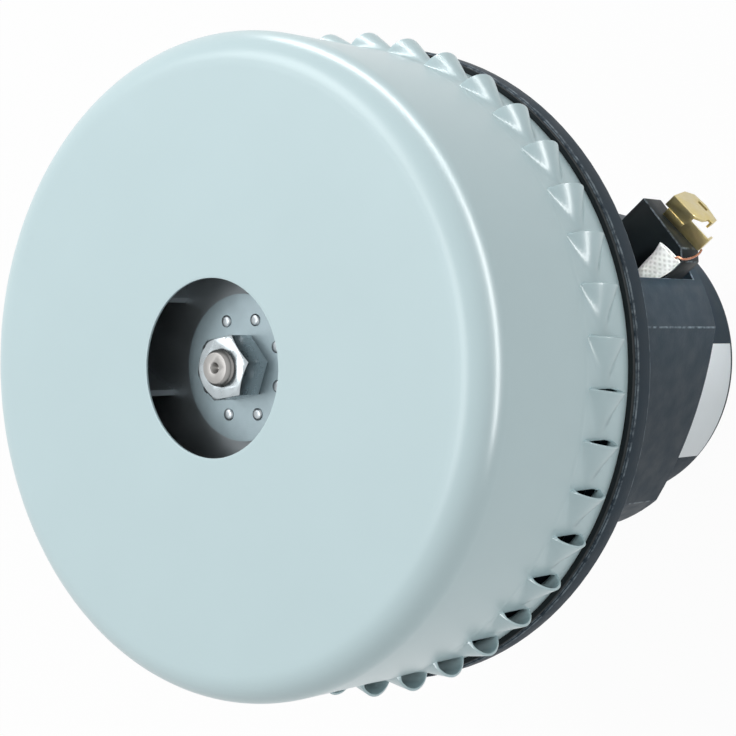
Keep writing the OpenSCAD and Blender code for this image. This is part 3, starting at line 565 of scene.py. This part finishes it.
# Rows of points on the shell, in millimetres: radii on the face, distance of the last one from the corner,
# heights on the drum, rise and height of the bead over the mouths, and heights over the open edge
FACE_ROWS = (24, 32, 42, 52, 60)
CORNER_GUARD = 1.5
DRUM_ROWS = (152, 146, 140, 135)
BEAD_ROWS = ((0, 2.4), (0, 1.5), (0.12, 0.9), (0, 0.4))
EDGE_ROWS = (2.2, 1.2, 0)
CORNER_STEPS = 12
MOUTH_STEPS = 26
# Columns of points as shares of the way from the mouth before a louvre to its own mouth
COLUMNS = (0, 0.07, 0.14, 0.2, 0.26, 0.34, 0.42, 0.5, 0.58, 0.66, 0.74, 0.81, 0.87, 0.92, 0.96, 1)
# Bow of a lip and width of the crease round a louvre, in millimetres, and how far behind the mouth it is full
LIP_BOW = 0.3
CREASE = 0.9
CREASE_RUN = 2.5
# Shares of a mouth's length: where the cut edge starts to fall back, how soon the skew fades below the mouth,
# and how far a louvre's shape reaches past the mouth's ends
CUT_START = 0.66
FADE = 0.2
PAST_ENDS = 0.05


def louvre_sector(sizes):
    """Points in millimetres and faces of one louvre's share of the shell, its mouth at the +X half-plane."""
    radius = sizes.radius / MM
    front = CAD_BOX[1].z / MM
    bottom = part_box("fan_shell")[0].z / MM
    fillet = sizes.fillet / MM
    length = sizes.mouth_length / MM
    rise = sizes.rise / MM
    run = sizes.run / MM
    skew = sizes.skew / MM
    mouth_top = bottom + sizes.edge / MM + length
    pitch = 2 * math.pi * radius / sizes.louvres
    cone = (length * length / 4 + rise * rise) / (2 * rise)
    axis = radius + rise - cone
    slope = (cone + axis - math.sqrt(radius * radius - run * run)) / run

    def setback(w):
        """How far the mouth's lip and the cut edge before it fall back, at a share of the mouth's length."""
        if w <= 0:
            return 0, 0
        if w >= 1:
            back = skew * (1 - ease((w - 1) / FADE))
            return back, back
        return skew * w + LIP_BOW * math.sin(math.pi * w), skew * ease((w - CUT_START) / (1 - CUT_START))

    def level(behind, z):
        """Radius of the sheet at an arc length behind the mouth's lip."""
        offset = z - (mouth_top - length / 2)
        round_r = cone - slope * behind
        if round_r <= abs(offset):
            return radius
        pressed = math.hypot(axis + math.sqrt(round_r * round_r - offset * offset), behind)
        blend = CREASE * min(1, behind / CREASE_RUN)
        near = max(blend - abs(pressed - radius), 0) / blend if blend > 0 else 0
        return max(pressed, radius) + near * near * blend / 4

    inlet = sizes.inlet / MM
    full_sheet = inlet + (sizes.sheet - sizes.inlet_edge) / MM
    flat_end = radius - fillet
    rows = [(r, front) for r in (inlet, full_sheet, *FACE_ROWS, flat_end - CORNER_GUARD, flat_end)]
    corner = [math.radians(90 * k / CORNER_STEPS) for k in range(1, CORNER_STEPS + 1)]
    rows += [(flat_end + fillet * math.sin(a), front - fillet * (1 - math.cos(a))) for a in corner]
    rows += [(radius, z) for z in DRUM_ROWS]
    rows += [(radius + up, mouth_top + z) for up, z in BEAD_ROWS]
    drops = [0.5 - 0.5 * math.cos(math.pi * k / MOUTH_STEPS) for k in range(MOUTH_STEPS + 1)]
    rows += [(radius, mouth_top - length * drop) for drop in drops]
    rows += [(radius, bottom + z) for z in EDGE_ROWS]
    points = []
    for r, z in rows:
        w = (mouth_top - z) / length
        lip, edge = setback(w)
        for share in COLUMNS:
            s = (-pitch - edge) * (1 - share) - lip * share
            in_mouth = -PAST_ENDS < w < 1 + PAST_ENDS
            lifted = level(max(0, -s - lip), z) if in_mouth else r
            a = s / radius
            points.append((lifted * math.cos(a), lifted * math.sin(a), z))
    wide = len(COLUMNS)
    faces = []
    for i in range(len(rows) - 1):
        for j in range(wide - 1):
            k = i * wide + j
            faces.append((k, k + wide, k + wide + 1, k + 1))
    return points, faces


RING_INPUTS = {
    "Geometry": "NodeSocketGeometry",
    "Count": "NodeSocketInt",
    "Start": "NodeSocketFloat",
    "Join distance": "NodeSocketFloat",
    "Finish": "NodeSocketMaterial",
}


def ring_tree(name):
    """Node tree that repeats its mesh in equal steps round the shaft and joins what touches."""
    tree = bpy.data.node_groups.new(name, "GeometryNodeTree")
    sockets = {}
    for label, kind in RING_INPUTS.items():
        sockets[label] = tree.interface.new_socket(label, in_out="INPUT", socket_type=kind).identifier
    tree.interface.new_socket("Geometry", in_out="OUTPUT", socket_type="NodeSocketGeometry")
    given = add(tree, "NodeGroupInput")
    places = add(tree, "GeometryNodePoints", {}, {"Count": given.outputs["Count"]})
    number = add(tree, "GeometryNodeInputIndex")
    step = add(tree, "ShaderNodeMath", {0: 2 * math.pi}, {1: given.outputs["Count"]}, operation="DIVIDE")
    turned = add(tree, "ShaderNodeMath", {},
                 {0: number.outputs["Index"], 1: step.outputs["Value"], 2: given.outputs["Start"]},
                 operation="MULTIPLY_ADD")
    euler = add(tree, "ShaderNodeCombineXYZ", {}, {"Z": turned.outputs["Value"]})
    rotation = add(tree, "FunctionNodeEulerToRotation", {}, {"Euler": euler.outputs["Vector"]})
    copies = add(tree, "GeometryNodeInstanceOnPoints", {},
                 {"Points": places.outputs["Geometry"], "Instance": given.outputs["Geometry"],
                  "Rotation": rotation.outputs["Rotation"]})
    solid = add(tree, "GeometryNodeRealizeInstances", {}, {"Geometry": copies.outputs["Instances"]})
    joined = add(tree, "GeometryNodeMergeByDistance", {},
                 {"Geometry": solid.outputs["Geometry"], "Distance": given.outputs["Join distance"]})
    dressed = add(tree, "GeometryNodeSetMaterial", {},
                  {"Geometry": joined.outputs["Geometry"], "Material": given.outputs["Finish"]})
    add(tree, "NodeGroupOutput", {}, {"Geometry": dressed.outputs["Geometry"]})
    return tree, sockets


def ringed(name, points, faces, count, start, join, material):
    """Piece made of one shape repeated round the shaft."""
    piece = show(name, mesh_of(name, points, faces))
    tree, sockets = ring_tree(name + " ring")
    repeat = piece.modifiers.new("Ring", "NODES")
    repeat.node_group = tree
    repeat[sockets["Count"]] = count
    repeat[sockets["Start"]] = start
    repeat[sockets["Join distance"]] = join * MM
    repeat[sockets["Finish"]] = material
    flatten(piece)
    return piece


def skin_faces(rings, sides):
    """Faces between rings of points that follow each other."""
    faces = []
    for i in range(rings - 1):
        a = i * sides
        for k in range(sides):
            m = (k + 1) % sides
            faces.append((a + k, a + m, a + sides + m, a + sides + k))
    return faces


def tube_faces(rings, sides):
    """Faces of a tube of rings, closed at both ends."""
    count = rings * sides
    ends = [tuple(range(sides - 1, -1, -1)), tuple(range(count - sides, count))]
    return ends + skin_faces(rings, sides)


# The sheet thins from this height above the drum over this run, up to a louvre's lip, in millimetres
THIN_FROM = 0.25
THIN_RUN = 1.5


class MOTOR_OT_fan_shell(bpy.types.Operator):
    """Pressed fan shell with its ring of louvres"""

    bl_idname = "vacuum_motor.fan_shell"
    bl_label = "Fan shell"

    def execute(self, context):
        sizes = context.scene.motor_shell
        points, faces = louvre_sector(sizes)
        shell = ringed("fan_shell_sheet", points, faces, sizes.louvres, sizes.turn, join=0.01,
                       material=finish_of("fan_shell"))
        self.thin(shell, sizes)
        wall = shell.modifiers.new("Wall", "SOLIDIFY")
        wall.thickness = sizes.sheet
        wall.offset = -1
        wall.vertex_group = "thickness"
        wall.use_even_offset = False
        round_edges(shell, width=0.16, angle=60)
        flatten(shell)
        smooth(shell, angle=50)
        settle(shell, "fan_shell")
        return {"FINISHED"}

    def thin(self, shell, sizes):
        """Marks the sheet's thickness at each point, less at the inlet's edge and at the louvres' lips."""
        thickness = shell.vertex_groups.new(name="thickness")
        inlet_end = sizes.inlet + 0.1 * MM
        for vertex in shell.data.vertices:
            reach = math.hypot(vertex.co.x, vertex.co.y)
            above = (reach - sizes.radius - THIN_FROM * MM) / (THIN_RUN * MM)
            share = 1 - (1 - sizes.lip / sizes.sheet) * ease(above)
            if reach < inlet_end:
                share = sizes.inlet_edge / sizes.sheet
            thickness.add([vertex.index], share, "REPLACE")


# Outline of a rivet's head, as shares of its radius and height
HEAD_OUTLINE = ((1, 0), (1, 0.3), (0.88, 0.66), (0.62, 0.9), (0.3, 1))


class MOTOR_OT_hub_rivets(bpy.types.Operator):
    """Round-headed rivets of the two hub discs"""

    bl_idname = "vacuum_motor.hub_rivets"
    bl_label = "Hub rivets"

    def execute(self, context):
        sizes = context.scene.motor_hub
        sides = 20
        for node in ("first_hub_rivets", "second_hub_rivets"):
            low, high = (corner.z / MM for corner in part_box(node))
            shank = sizes.shank / MM
            dome = sizes.dome / MM
            head = sizes.head / MM
            seat = high - dome
            profile = [(shank, low), (shank, seat)]
            profile += [(head * r, seat + dome * z) for r, z in HEAD_OUTLINE]
            points = []
            for r, z in profile:
                for k in range(sides):
                    a = 2 * math.pi * k / sides
                    points.append((sizes.circle / MM + r * math.cos(a), r * math.sin(a), z))
            faces = tube_faces(len(profile), sides)
            rivets = ringed(node + "_set", points, faces, sizes.rivets, sizes.turn, join=0.001,
                            material=finish_of(node))
            smooth(rivets, angle=40)
            settle(rivets, node)
        return {"FINISHED"}


class MOTOR_OT_brush_springs(bpy.types.Operator):
    """Coil springs behind the carbon brushes"""

    bl_idname = "vacuum_motor.brush_springs"
    bl_label = "Brush springs"

    def execute(self, context):
        sizes = context.scene.motor_brush
        per_turn, sides = 24, 8
        steps = sizes.spring_turns * per_turn
        wire = sizes.spring_wire / MM
        coil = sizes.spring_radius / MM
        for node, joint, outward in (("brush_spring_a", "brush_a_slide", 1),
                                     ("brush_spring_b", "brush_b_slide", -1)):
            low, high = (corner.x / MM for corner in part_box(node))
            near, far = (low, high) if outward > 0 else (high, low)
            first, last = near + outward * wire, far - outward * wire
            points = []
            for k in range(steps + 1):
                a = 2 * math.pi * k / per_turn
                x = first + (last - first) * k / steps
                for m in range(sides):
                    b = 2 * math.pi * m / sides
                    r = coil + wire * math.cos(b)
                    points.append((x + wire * math.sin(b), outward * r * math.cos(a),
                                   sizes.level / MM + r * math.sin(a)))
            faces = tube_faces(steps + 1, sides)
            mesh = mesh_of(node + "_coil", points, faces)
            turn_faces_out(mesh)
            mesh.materials.append(finish_of(node))
            spring = show(node + "_coil", mesh)
            smooth(spring, angle=60)
            settle(spring, node)
            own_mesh(spring)
        return {"FINISHED"}


# Routes from the brush centre in millimetres, and half the sleeve's width and height at its stops
SLEEVE_ROUTE = [(31.4, -6.6, 9.2), (35.5, -6.7, 8), (40, -6.8, 7.1), (44.5, -6.8, 6.8), (48, -7.1, 6.8),
                (50.9, -6.8, 6.9)]
SLEEVE_WIDTH = [2.3, 2.4, 2.5, 2.9, 3.4, 3.8]
SLEEVE_HEIGHT = [2, 2, 2.1, 2.1, 1.8, 1.2]
WIRE_ROUTE = [(31.4, -6.6, 9.2), (35.5, -6.7, 8), (40, -7.1, 7.1), (44.5, -7.9, 6.8), (48, -8.7, 6.8),
              (51.5, -9, 6.9), (52, -10, 5.6), (52.5, -9.9, 2), (53.2, -9.1, -1.6), (53.6, -7.95, -4)]
# Wall of the sleeve sideways and upwards, and the way round it that its braid is laid out on, in millimetres
SLEEVE_WALL = (0.45, 0.7)
SLEEVE_GIRTH = 16
ROUTE_PARTS = 5
WIRE_SIDES = 10
SLEEVE_SIDES = 40


def flowing(stops):
    """Smooth run of vectors through the stops."""
    stops = [Vector(stop) for stop in stops]
    run = []
    for i in range(len(stops) - 1):
        before = stops[max(i - 1, 0)]
        after = stops[min(i + 2, len(stops) - 1)]
        for k in range(ROUTE_PARTS):
            t = k / ROUTE_PARTS
            a, b = stops[i], stops[i + 1]
            run.append(0.5 * (2 * a + (b - before) * t + (2 * before - 5 * a + 4 * b - after) * t * t
                              + (3 * a - before - 3 * b + after) * t * t * t))
    return run + [stops[-1]]


def route_rings(path, sizes, sides):
    """Rings of points in millimetres round a path, each as wide and high as its size says."""
    rings = []
    for i, centre in enumerate(path):
        ahead = (path[min(i + 1, len(path) - 1)] - path[max(i - 1, 0)]).normalized()
        side = Vector((0, 1, 0))
        side = (side - side.dot(ahead) * ahead).normalized()
        up = ahead.cross(side)
        wide, high = sizes[i]
        turns = [2 * math.pi * k / sides for k in range(sides)]
        rings.append([centre + wide * math.cos(a) * side + high * math.sin(a) * up for a in turns])
    return rings


class MOTOR_OT_leads(bpy.types.Operator):
    """Field leads with their woven sleeves"""

    bl_idname = "vacuum_motor.leads"
    bl_label = "Leads and sleeves"

    def execute(self, context):
        sizes = context.scene.motor_brush
        lift = Vector((0, 0, sizes.level / MM))
        path = [point + lift for point in flowing(WIRE_ROUTE)]
        wire = sizes.lead_wire / MM
        wire_rings = route_rings(path, [(wire, wire)] * len(path), WIRE_SIDES)
        wire_faces = tube_faces(len(path), WIRE_SIDES)
        sleeve_path = [point + lift for point in flowing(SLEEVE_ROUTE)]
        spans = flowing([(w, h, 0) for w, h in zip(SLEEVE_WIDTH, SLEEVE_HEIGHT)])
        outer = route_rings(sleeve_path, [(v.x, v.y) for v in spans], SLEEVE_SIDES)
        hollow = [(v.x - SLEEVE_WALL[0], v.y - SLEEVE_WALL[1]) for v in spans]
        inner = route_rings(sleeve_path, hollow, SLEEVE_SIDES)
        sleeve_rings = outer + inner[::-1]
        sleeve_faces = skin_faces(len(sleeve_rings), SLEEVE_SIDES)
        last = (len(sleeve_rings) - 1) * SLEEVE_SIDES
        for k in range(SLEEVE_SIDES):
            m = (k + 1) % SLEEVE_SIDES
            sleeve_faces.append((last + k, last + m, m, k))
        for node, sleeve_node, turn in (("lead_wire_a", "lead_sleeve_a", Matrix.Identity(4)),
                                        ("lead_wire_b", "lead_sleeve_b", HALF_TURN)):
            self.piece(node, wire_rings, wire_faces, turn)
            sleeve = self.piece(sleeve_node, sleeve_rings, sleeve_faces, turn)
            self.lay_braid(sleeve)
        return {"FINISHED"}

    def piece(self, node, rings, faces, turn):
        """Piece for one lead part."""
        mesh = mesh_of(node + "_run", [point for ring in rings for point in ring], faces)
        mesh.transform(turn)
        turn_faces_out(mesh)
        mesh.materials.append(finish_of(node))
        made = show(node + "_run", mesh)
        smooth(made, angle=50)
        settle(made, node)
        return made

    def lay_braid(self, sleeve):
        """Map in metres along and round the sleeve, for its braid."""
        mesh = sleeve.data
        braid = mesh.uv_layers.new(name="braid")
        for polygon in mesh.polygons:
            corners = [mesh.loops[i].vertex_index for i in polygon.loop_indices]
            around = [(corner % SLEEVE_SIDES) / SLEEVE_SIDES for corner in corners]
            wrapped = max(around) - min(around) > 0.5
            for i, corner, share in zip(polygon.loop_indices, corners, around):
                share = share + 1 if wrapped and share < 0.5 else share
                along = abs(mesh.vertices[corner].co.x)
                braid.data[i].uv = (along, share * SLEEVE_GIRTH * MM)


class MOTOR_OT_softened_parts(bpy.types.Operator):
    """Moulded, turned and folded parts with their edges softened"""

    bl_idname = "vacuum_motor.softened_parts"
    bl_label = "Softened parts"

    def execute(self, context):
        # These parts get paler flecks on their bevelled edges: rubbed wear and painted highlight
        soften("motor_housing", width=0.25, angle=20, edge_wear_and_sheen=True)
        for node in ("rear_cover", "brush_holder_a", "brush_holder_b"):
            soften(node, width=0.3, edge_wear_and_sheen=True)
        for node in ("terminal_clip_a", "terminal_clip_b"):
            soften(node, width=0.14)
        for node in ("fan_nut", "shell_seal", "cover_screws"):
            soften(node, width=0.15)
        soften("shaft", width=0.05)
        return {"FINISHED"}


class MOTOR_OT_finishes(bpy.types.Operator):
    """Finish of the real material on every solid part"""

    bl_idname = "vacuum_motor.finishes"
    bl_label = "Part finishes"

    def execute(self, context):
        for node, part in NODES.items():
            for place in part.material_slots:
                place.material = finish_of(node)
        return {"FINISHED"}


def soft_box(name, place, aim, size, power, sheen=False):
    """Soft light at a place, aimed at a point. A sheen light gives only highlights, others give none."""
    lamp = bpy.data.lights.new(name, "AREA")
    lamp.shape = "RECTANGLE"
    lamp.size, lamp.size_y = size
    lamp.energy = power
    box = bpy.data.objects.new(name, lamp)
    box.location = place
    box.rotation_mode = "QUATERNION"
    box.rotation_quaternion = (Vector(aim) - Vector(place)).to_track_quat("-Z", "Y")
    box.visible_diffuse = not sheen
    box.visible_glossy = sheen
    bpy.context.scene.collection.objects.link(box)
    return box


# Aims of the lights, and each light's place from its aim, its size and its power, in metres and watts. Places
# are outward, sideways and upward parts
HEART = (0, 0, 0.13)
BRUSH = (0.042, 0.033, 0.042)
KEY_LIGHT = ((-0.25, 0.5, 0.8), (0.5, 0.5), 5.1)
DETAIL_LIGHT = ((0.4, 0.09, 0.19), (0.04, 0.04), 0.0105)
DETAIL_SPREAD = math.radians(9)
FILL_LIGHT = ((0.8, 0.1, 0), (0.5, 0.4), 0.4)
SHEEN_LIGHTS = [
    ((-0.24, 0.02, 0.97), (0.4, 0.4), 2),
    ((-0.46, 0.45, 0.77), (0.4, 0.4), 2.2),
    ((0.88, 0.19, -0.045), (1.2, 0.15), 13),
    ((0.15, 0.88, -0.045), (1.2, 0.15), 10),
]
# Share of plain white in what the camera sees of the floor
FLOOR_GLOW = 0.96


class MOTOR_OT_stage(bpy.types.Operator):
    """White studio with soft lights, and the camera"""

    bl_idname = "vacuum_motor.stage"
    bl_label = "Studio"

    def execute(self, context):
        sizes = context.scene.motor_stage
        outward = Vector((math.cos(sizes.azimuth), math.sin(sizes.azimuth), 0))
        sideways = Vector((-math.sin(sizes.azimuth), math.cos(sizes.azimuth), 0))
        upward = Vector((0, 0, 1))
        self.camera(context, sizes, outward, sideways, upward)
        self.floor()
        self.world(context, sizes)

        def away(parts):
            """Vector with these outward, sideways and upward parts."""
            return parts[0] * outward + parts[1] * sideways + parts[2] * upward

        def light(name, aim, lamp, sheen=False):
            """Light from its row above, aimed at a point."""
            parts, size, power = lamp
            return soft_box(name, aim + away(parts), aim, size, power, sheen)

        heart = away(HEART)
        light("Key light", heart, KEY_LIGHT)
        detail = light("Detail light", away(BRUSH), DETAIL_LIGHT)
        detail.data.spread = DETAIL_SPREAD
        detail.visible_glossy = True
        light("Fill light", heart, FILL_LIGHT)
        for lamp in SHEEN_LIGHTS:
            light("Sheen light", heart, lamp, sheen=True)
        context.scene.view_settings.view_transform = "Standard"
        return {"FINISHED"}

    def camera(self, context, sizes, outward, sideways, upward):
        """Camera at the photograph's angle."""
        lens = bpy.data.cameras.new("Camera")
        lens.lens = sizes.lens
        lens.sensor_width = 36
        lens.clip_start = 0.01
        camera = bpy.data.objects.new("Camera", lens)
        c, s = math.cos(sizes.tilt), math.sin(sizes.tilt)
        cr, sr = math.cos(sizes.roll), math.sin(sizes.roll)
        right = c * cr * outward - sr * sideways - s * cr * upward
        top = c * sr * outward + cr * sideways - s * sr * upward
        back = s * outward + c * upward
        place = sizes.out * outward + sizes.aside * sideways + sizes.height * upward
        camera.matrix_world = Matrix((
            (right.x, top.x, back.x, place.x),
            (right.y, top.y, back.y, place.y),
            (right.z, top.z, back.z, place.z),
            (0, 0, 0, 1),
        ))
        context.scene.collection.objects.link(camera)
        context.scene.camera = camera

    def seen(self, tree):
        """1 for rays that show the background, straight or by reflection."""
        rays = add(tree, "ShaderNodeLightPath")
        mirrored = add(tree, "ShaderNodeMath", {},
                       {0: rays.outputs["Is Glossy Ray"], 1: rays.outputs["Is Transmission Ray"]},
                       operation="MAXIMUM")
        either = add(tree, "ShaderNodeMath", {},
                     {0: rays.outputs["Is Camera Ray"], 1: mirrored.outputs["Value"]}, operation="MAXIMUM")
        return either.outputs["Value"]

    def floor(self):
        """Plain white floor that keeps a soft shadow."""
        reach = 3000
        corners = [(-reach, -reach, 0), (reach, -reach, 0), (reach, reach, 0), (-reach, reach, 0)]
        mesh = mesh_of("floor", corners, [(0, 1, 2, 3)])
        material, tree, _ = blank_material("Studio floor, painted white")
        paint = add(tree, "ShaderNodeBsdfDiffuse", {"Color": linear("#e2e5e5")})
        glow = add(tree, "ShaderNodeEmission", {"Color": (1, 1, 1, 1), "Strength": 1.0})
        share = add(tree, "ShaderNodeMath", {1: FLOOR_GLOW}, {0: self.seen(tree)}, operation="MULTIPLY")
        mixed = add(tree, "ShaderNodeMixShader", {},
                    {0: share.outputs["Value"], 1: paint.outputs["BSDF"], 2: glow.outputs["Emission"]})
        add(tree, "ShaderNodeOutputMaterial", {}, {"Surface": mixed.outputs["Shader"]})
        mesh.materials.append(material)
        show("floor", mesh)

    def world(self, context, sizes):
        """White surroundings."""
        world = bpy.data.worlds.new("Studio")
        world.use_nodes = True
        tree = world.node_tree
        tree.nodes.clear()
        strength = add(tree, "ShaderNodeMapRange", {"To Min": sizes.ambient, "To Max": 1.0},
                       {"Value": self.seen(tree)})
        sky = add(tree, "ShaderNodeBackground", {"Color": (1, 1, 1, 1)},
                  {"Strength": strength.outputs["Result"]})
        add(tree, "ShaderNodeOutputWorld", {}, {"Surface": sky.outputs["Background"]})
        context.scene.world = world


OPERATORS = [
    MOTOR_OT_stage,
    MOTOR_OT_finishes,
    MOTOR_OT_fan_shell,
    MOTOR_OT_hub_rivets,
    MOTOR_OT_softened_parts,
    MOTOR_OT_brush_springs,
    MOTOR_OT_leads,
]


class MOTOR_PT_panel(bpy.types.Panel):
    """Settings and build steps of the motor unit."""

    bl_idname = "MOTOR_PT_panel"
    bl_label = "Vacuum motor"
    bl_space_type = "VIEW_3D"
    bl_region_type = "UI"
    bl_category = "Vacuum motor"

    def draw(self, context):
        for operator in OPERATORS:
            self.layout.operator(operator.bl_idname)
        for name, group in GROUPS.items():
            box = self.layout.box()
            box.label(text=group.__doc__)
            for key in group.__annotations__:
                box.prop(getattr(context.scene, name), key)


CLASSES = [*GROUPS.values(), *OPERATORS, MOTOR_PT_panel]


def register():
    for cls in CLASSES:
        bpy.utils.register_class(cls)
    for name, group in GROUPS.items():
        setattr(bpy.types.Scene, name, PointerProperty(type=group))


def unregister():
    for name in GROUPS:
        delattr(bpy.types.Scene, name)
    for cls in reversed(CLASSES):
        bpy.utils.unregister_class(cls)


def main():
    """Builds everything in order."""
    register()
    bpy.ops.vacuum_motor.stage()
    bpy.ops.vacuum_motor.finishes()
    bpy.ops.vacuum_motor.fan_shell()
    bpy.ops.vacuum_motor.hub_rivets()
    bpy.ops.vacuum_motor.softened_parts()
    bpy.ops.vacuum_motor.brush_springs()
    bpy.ops.vacuum_motor.leads()


if __name__ == "__main__":
    main()
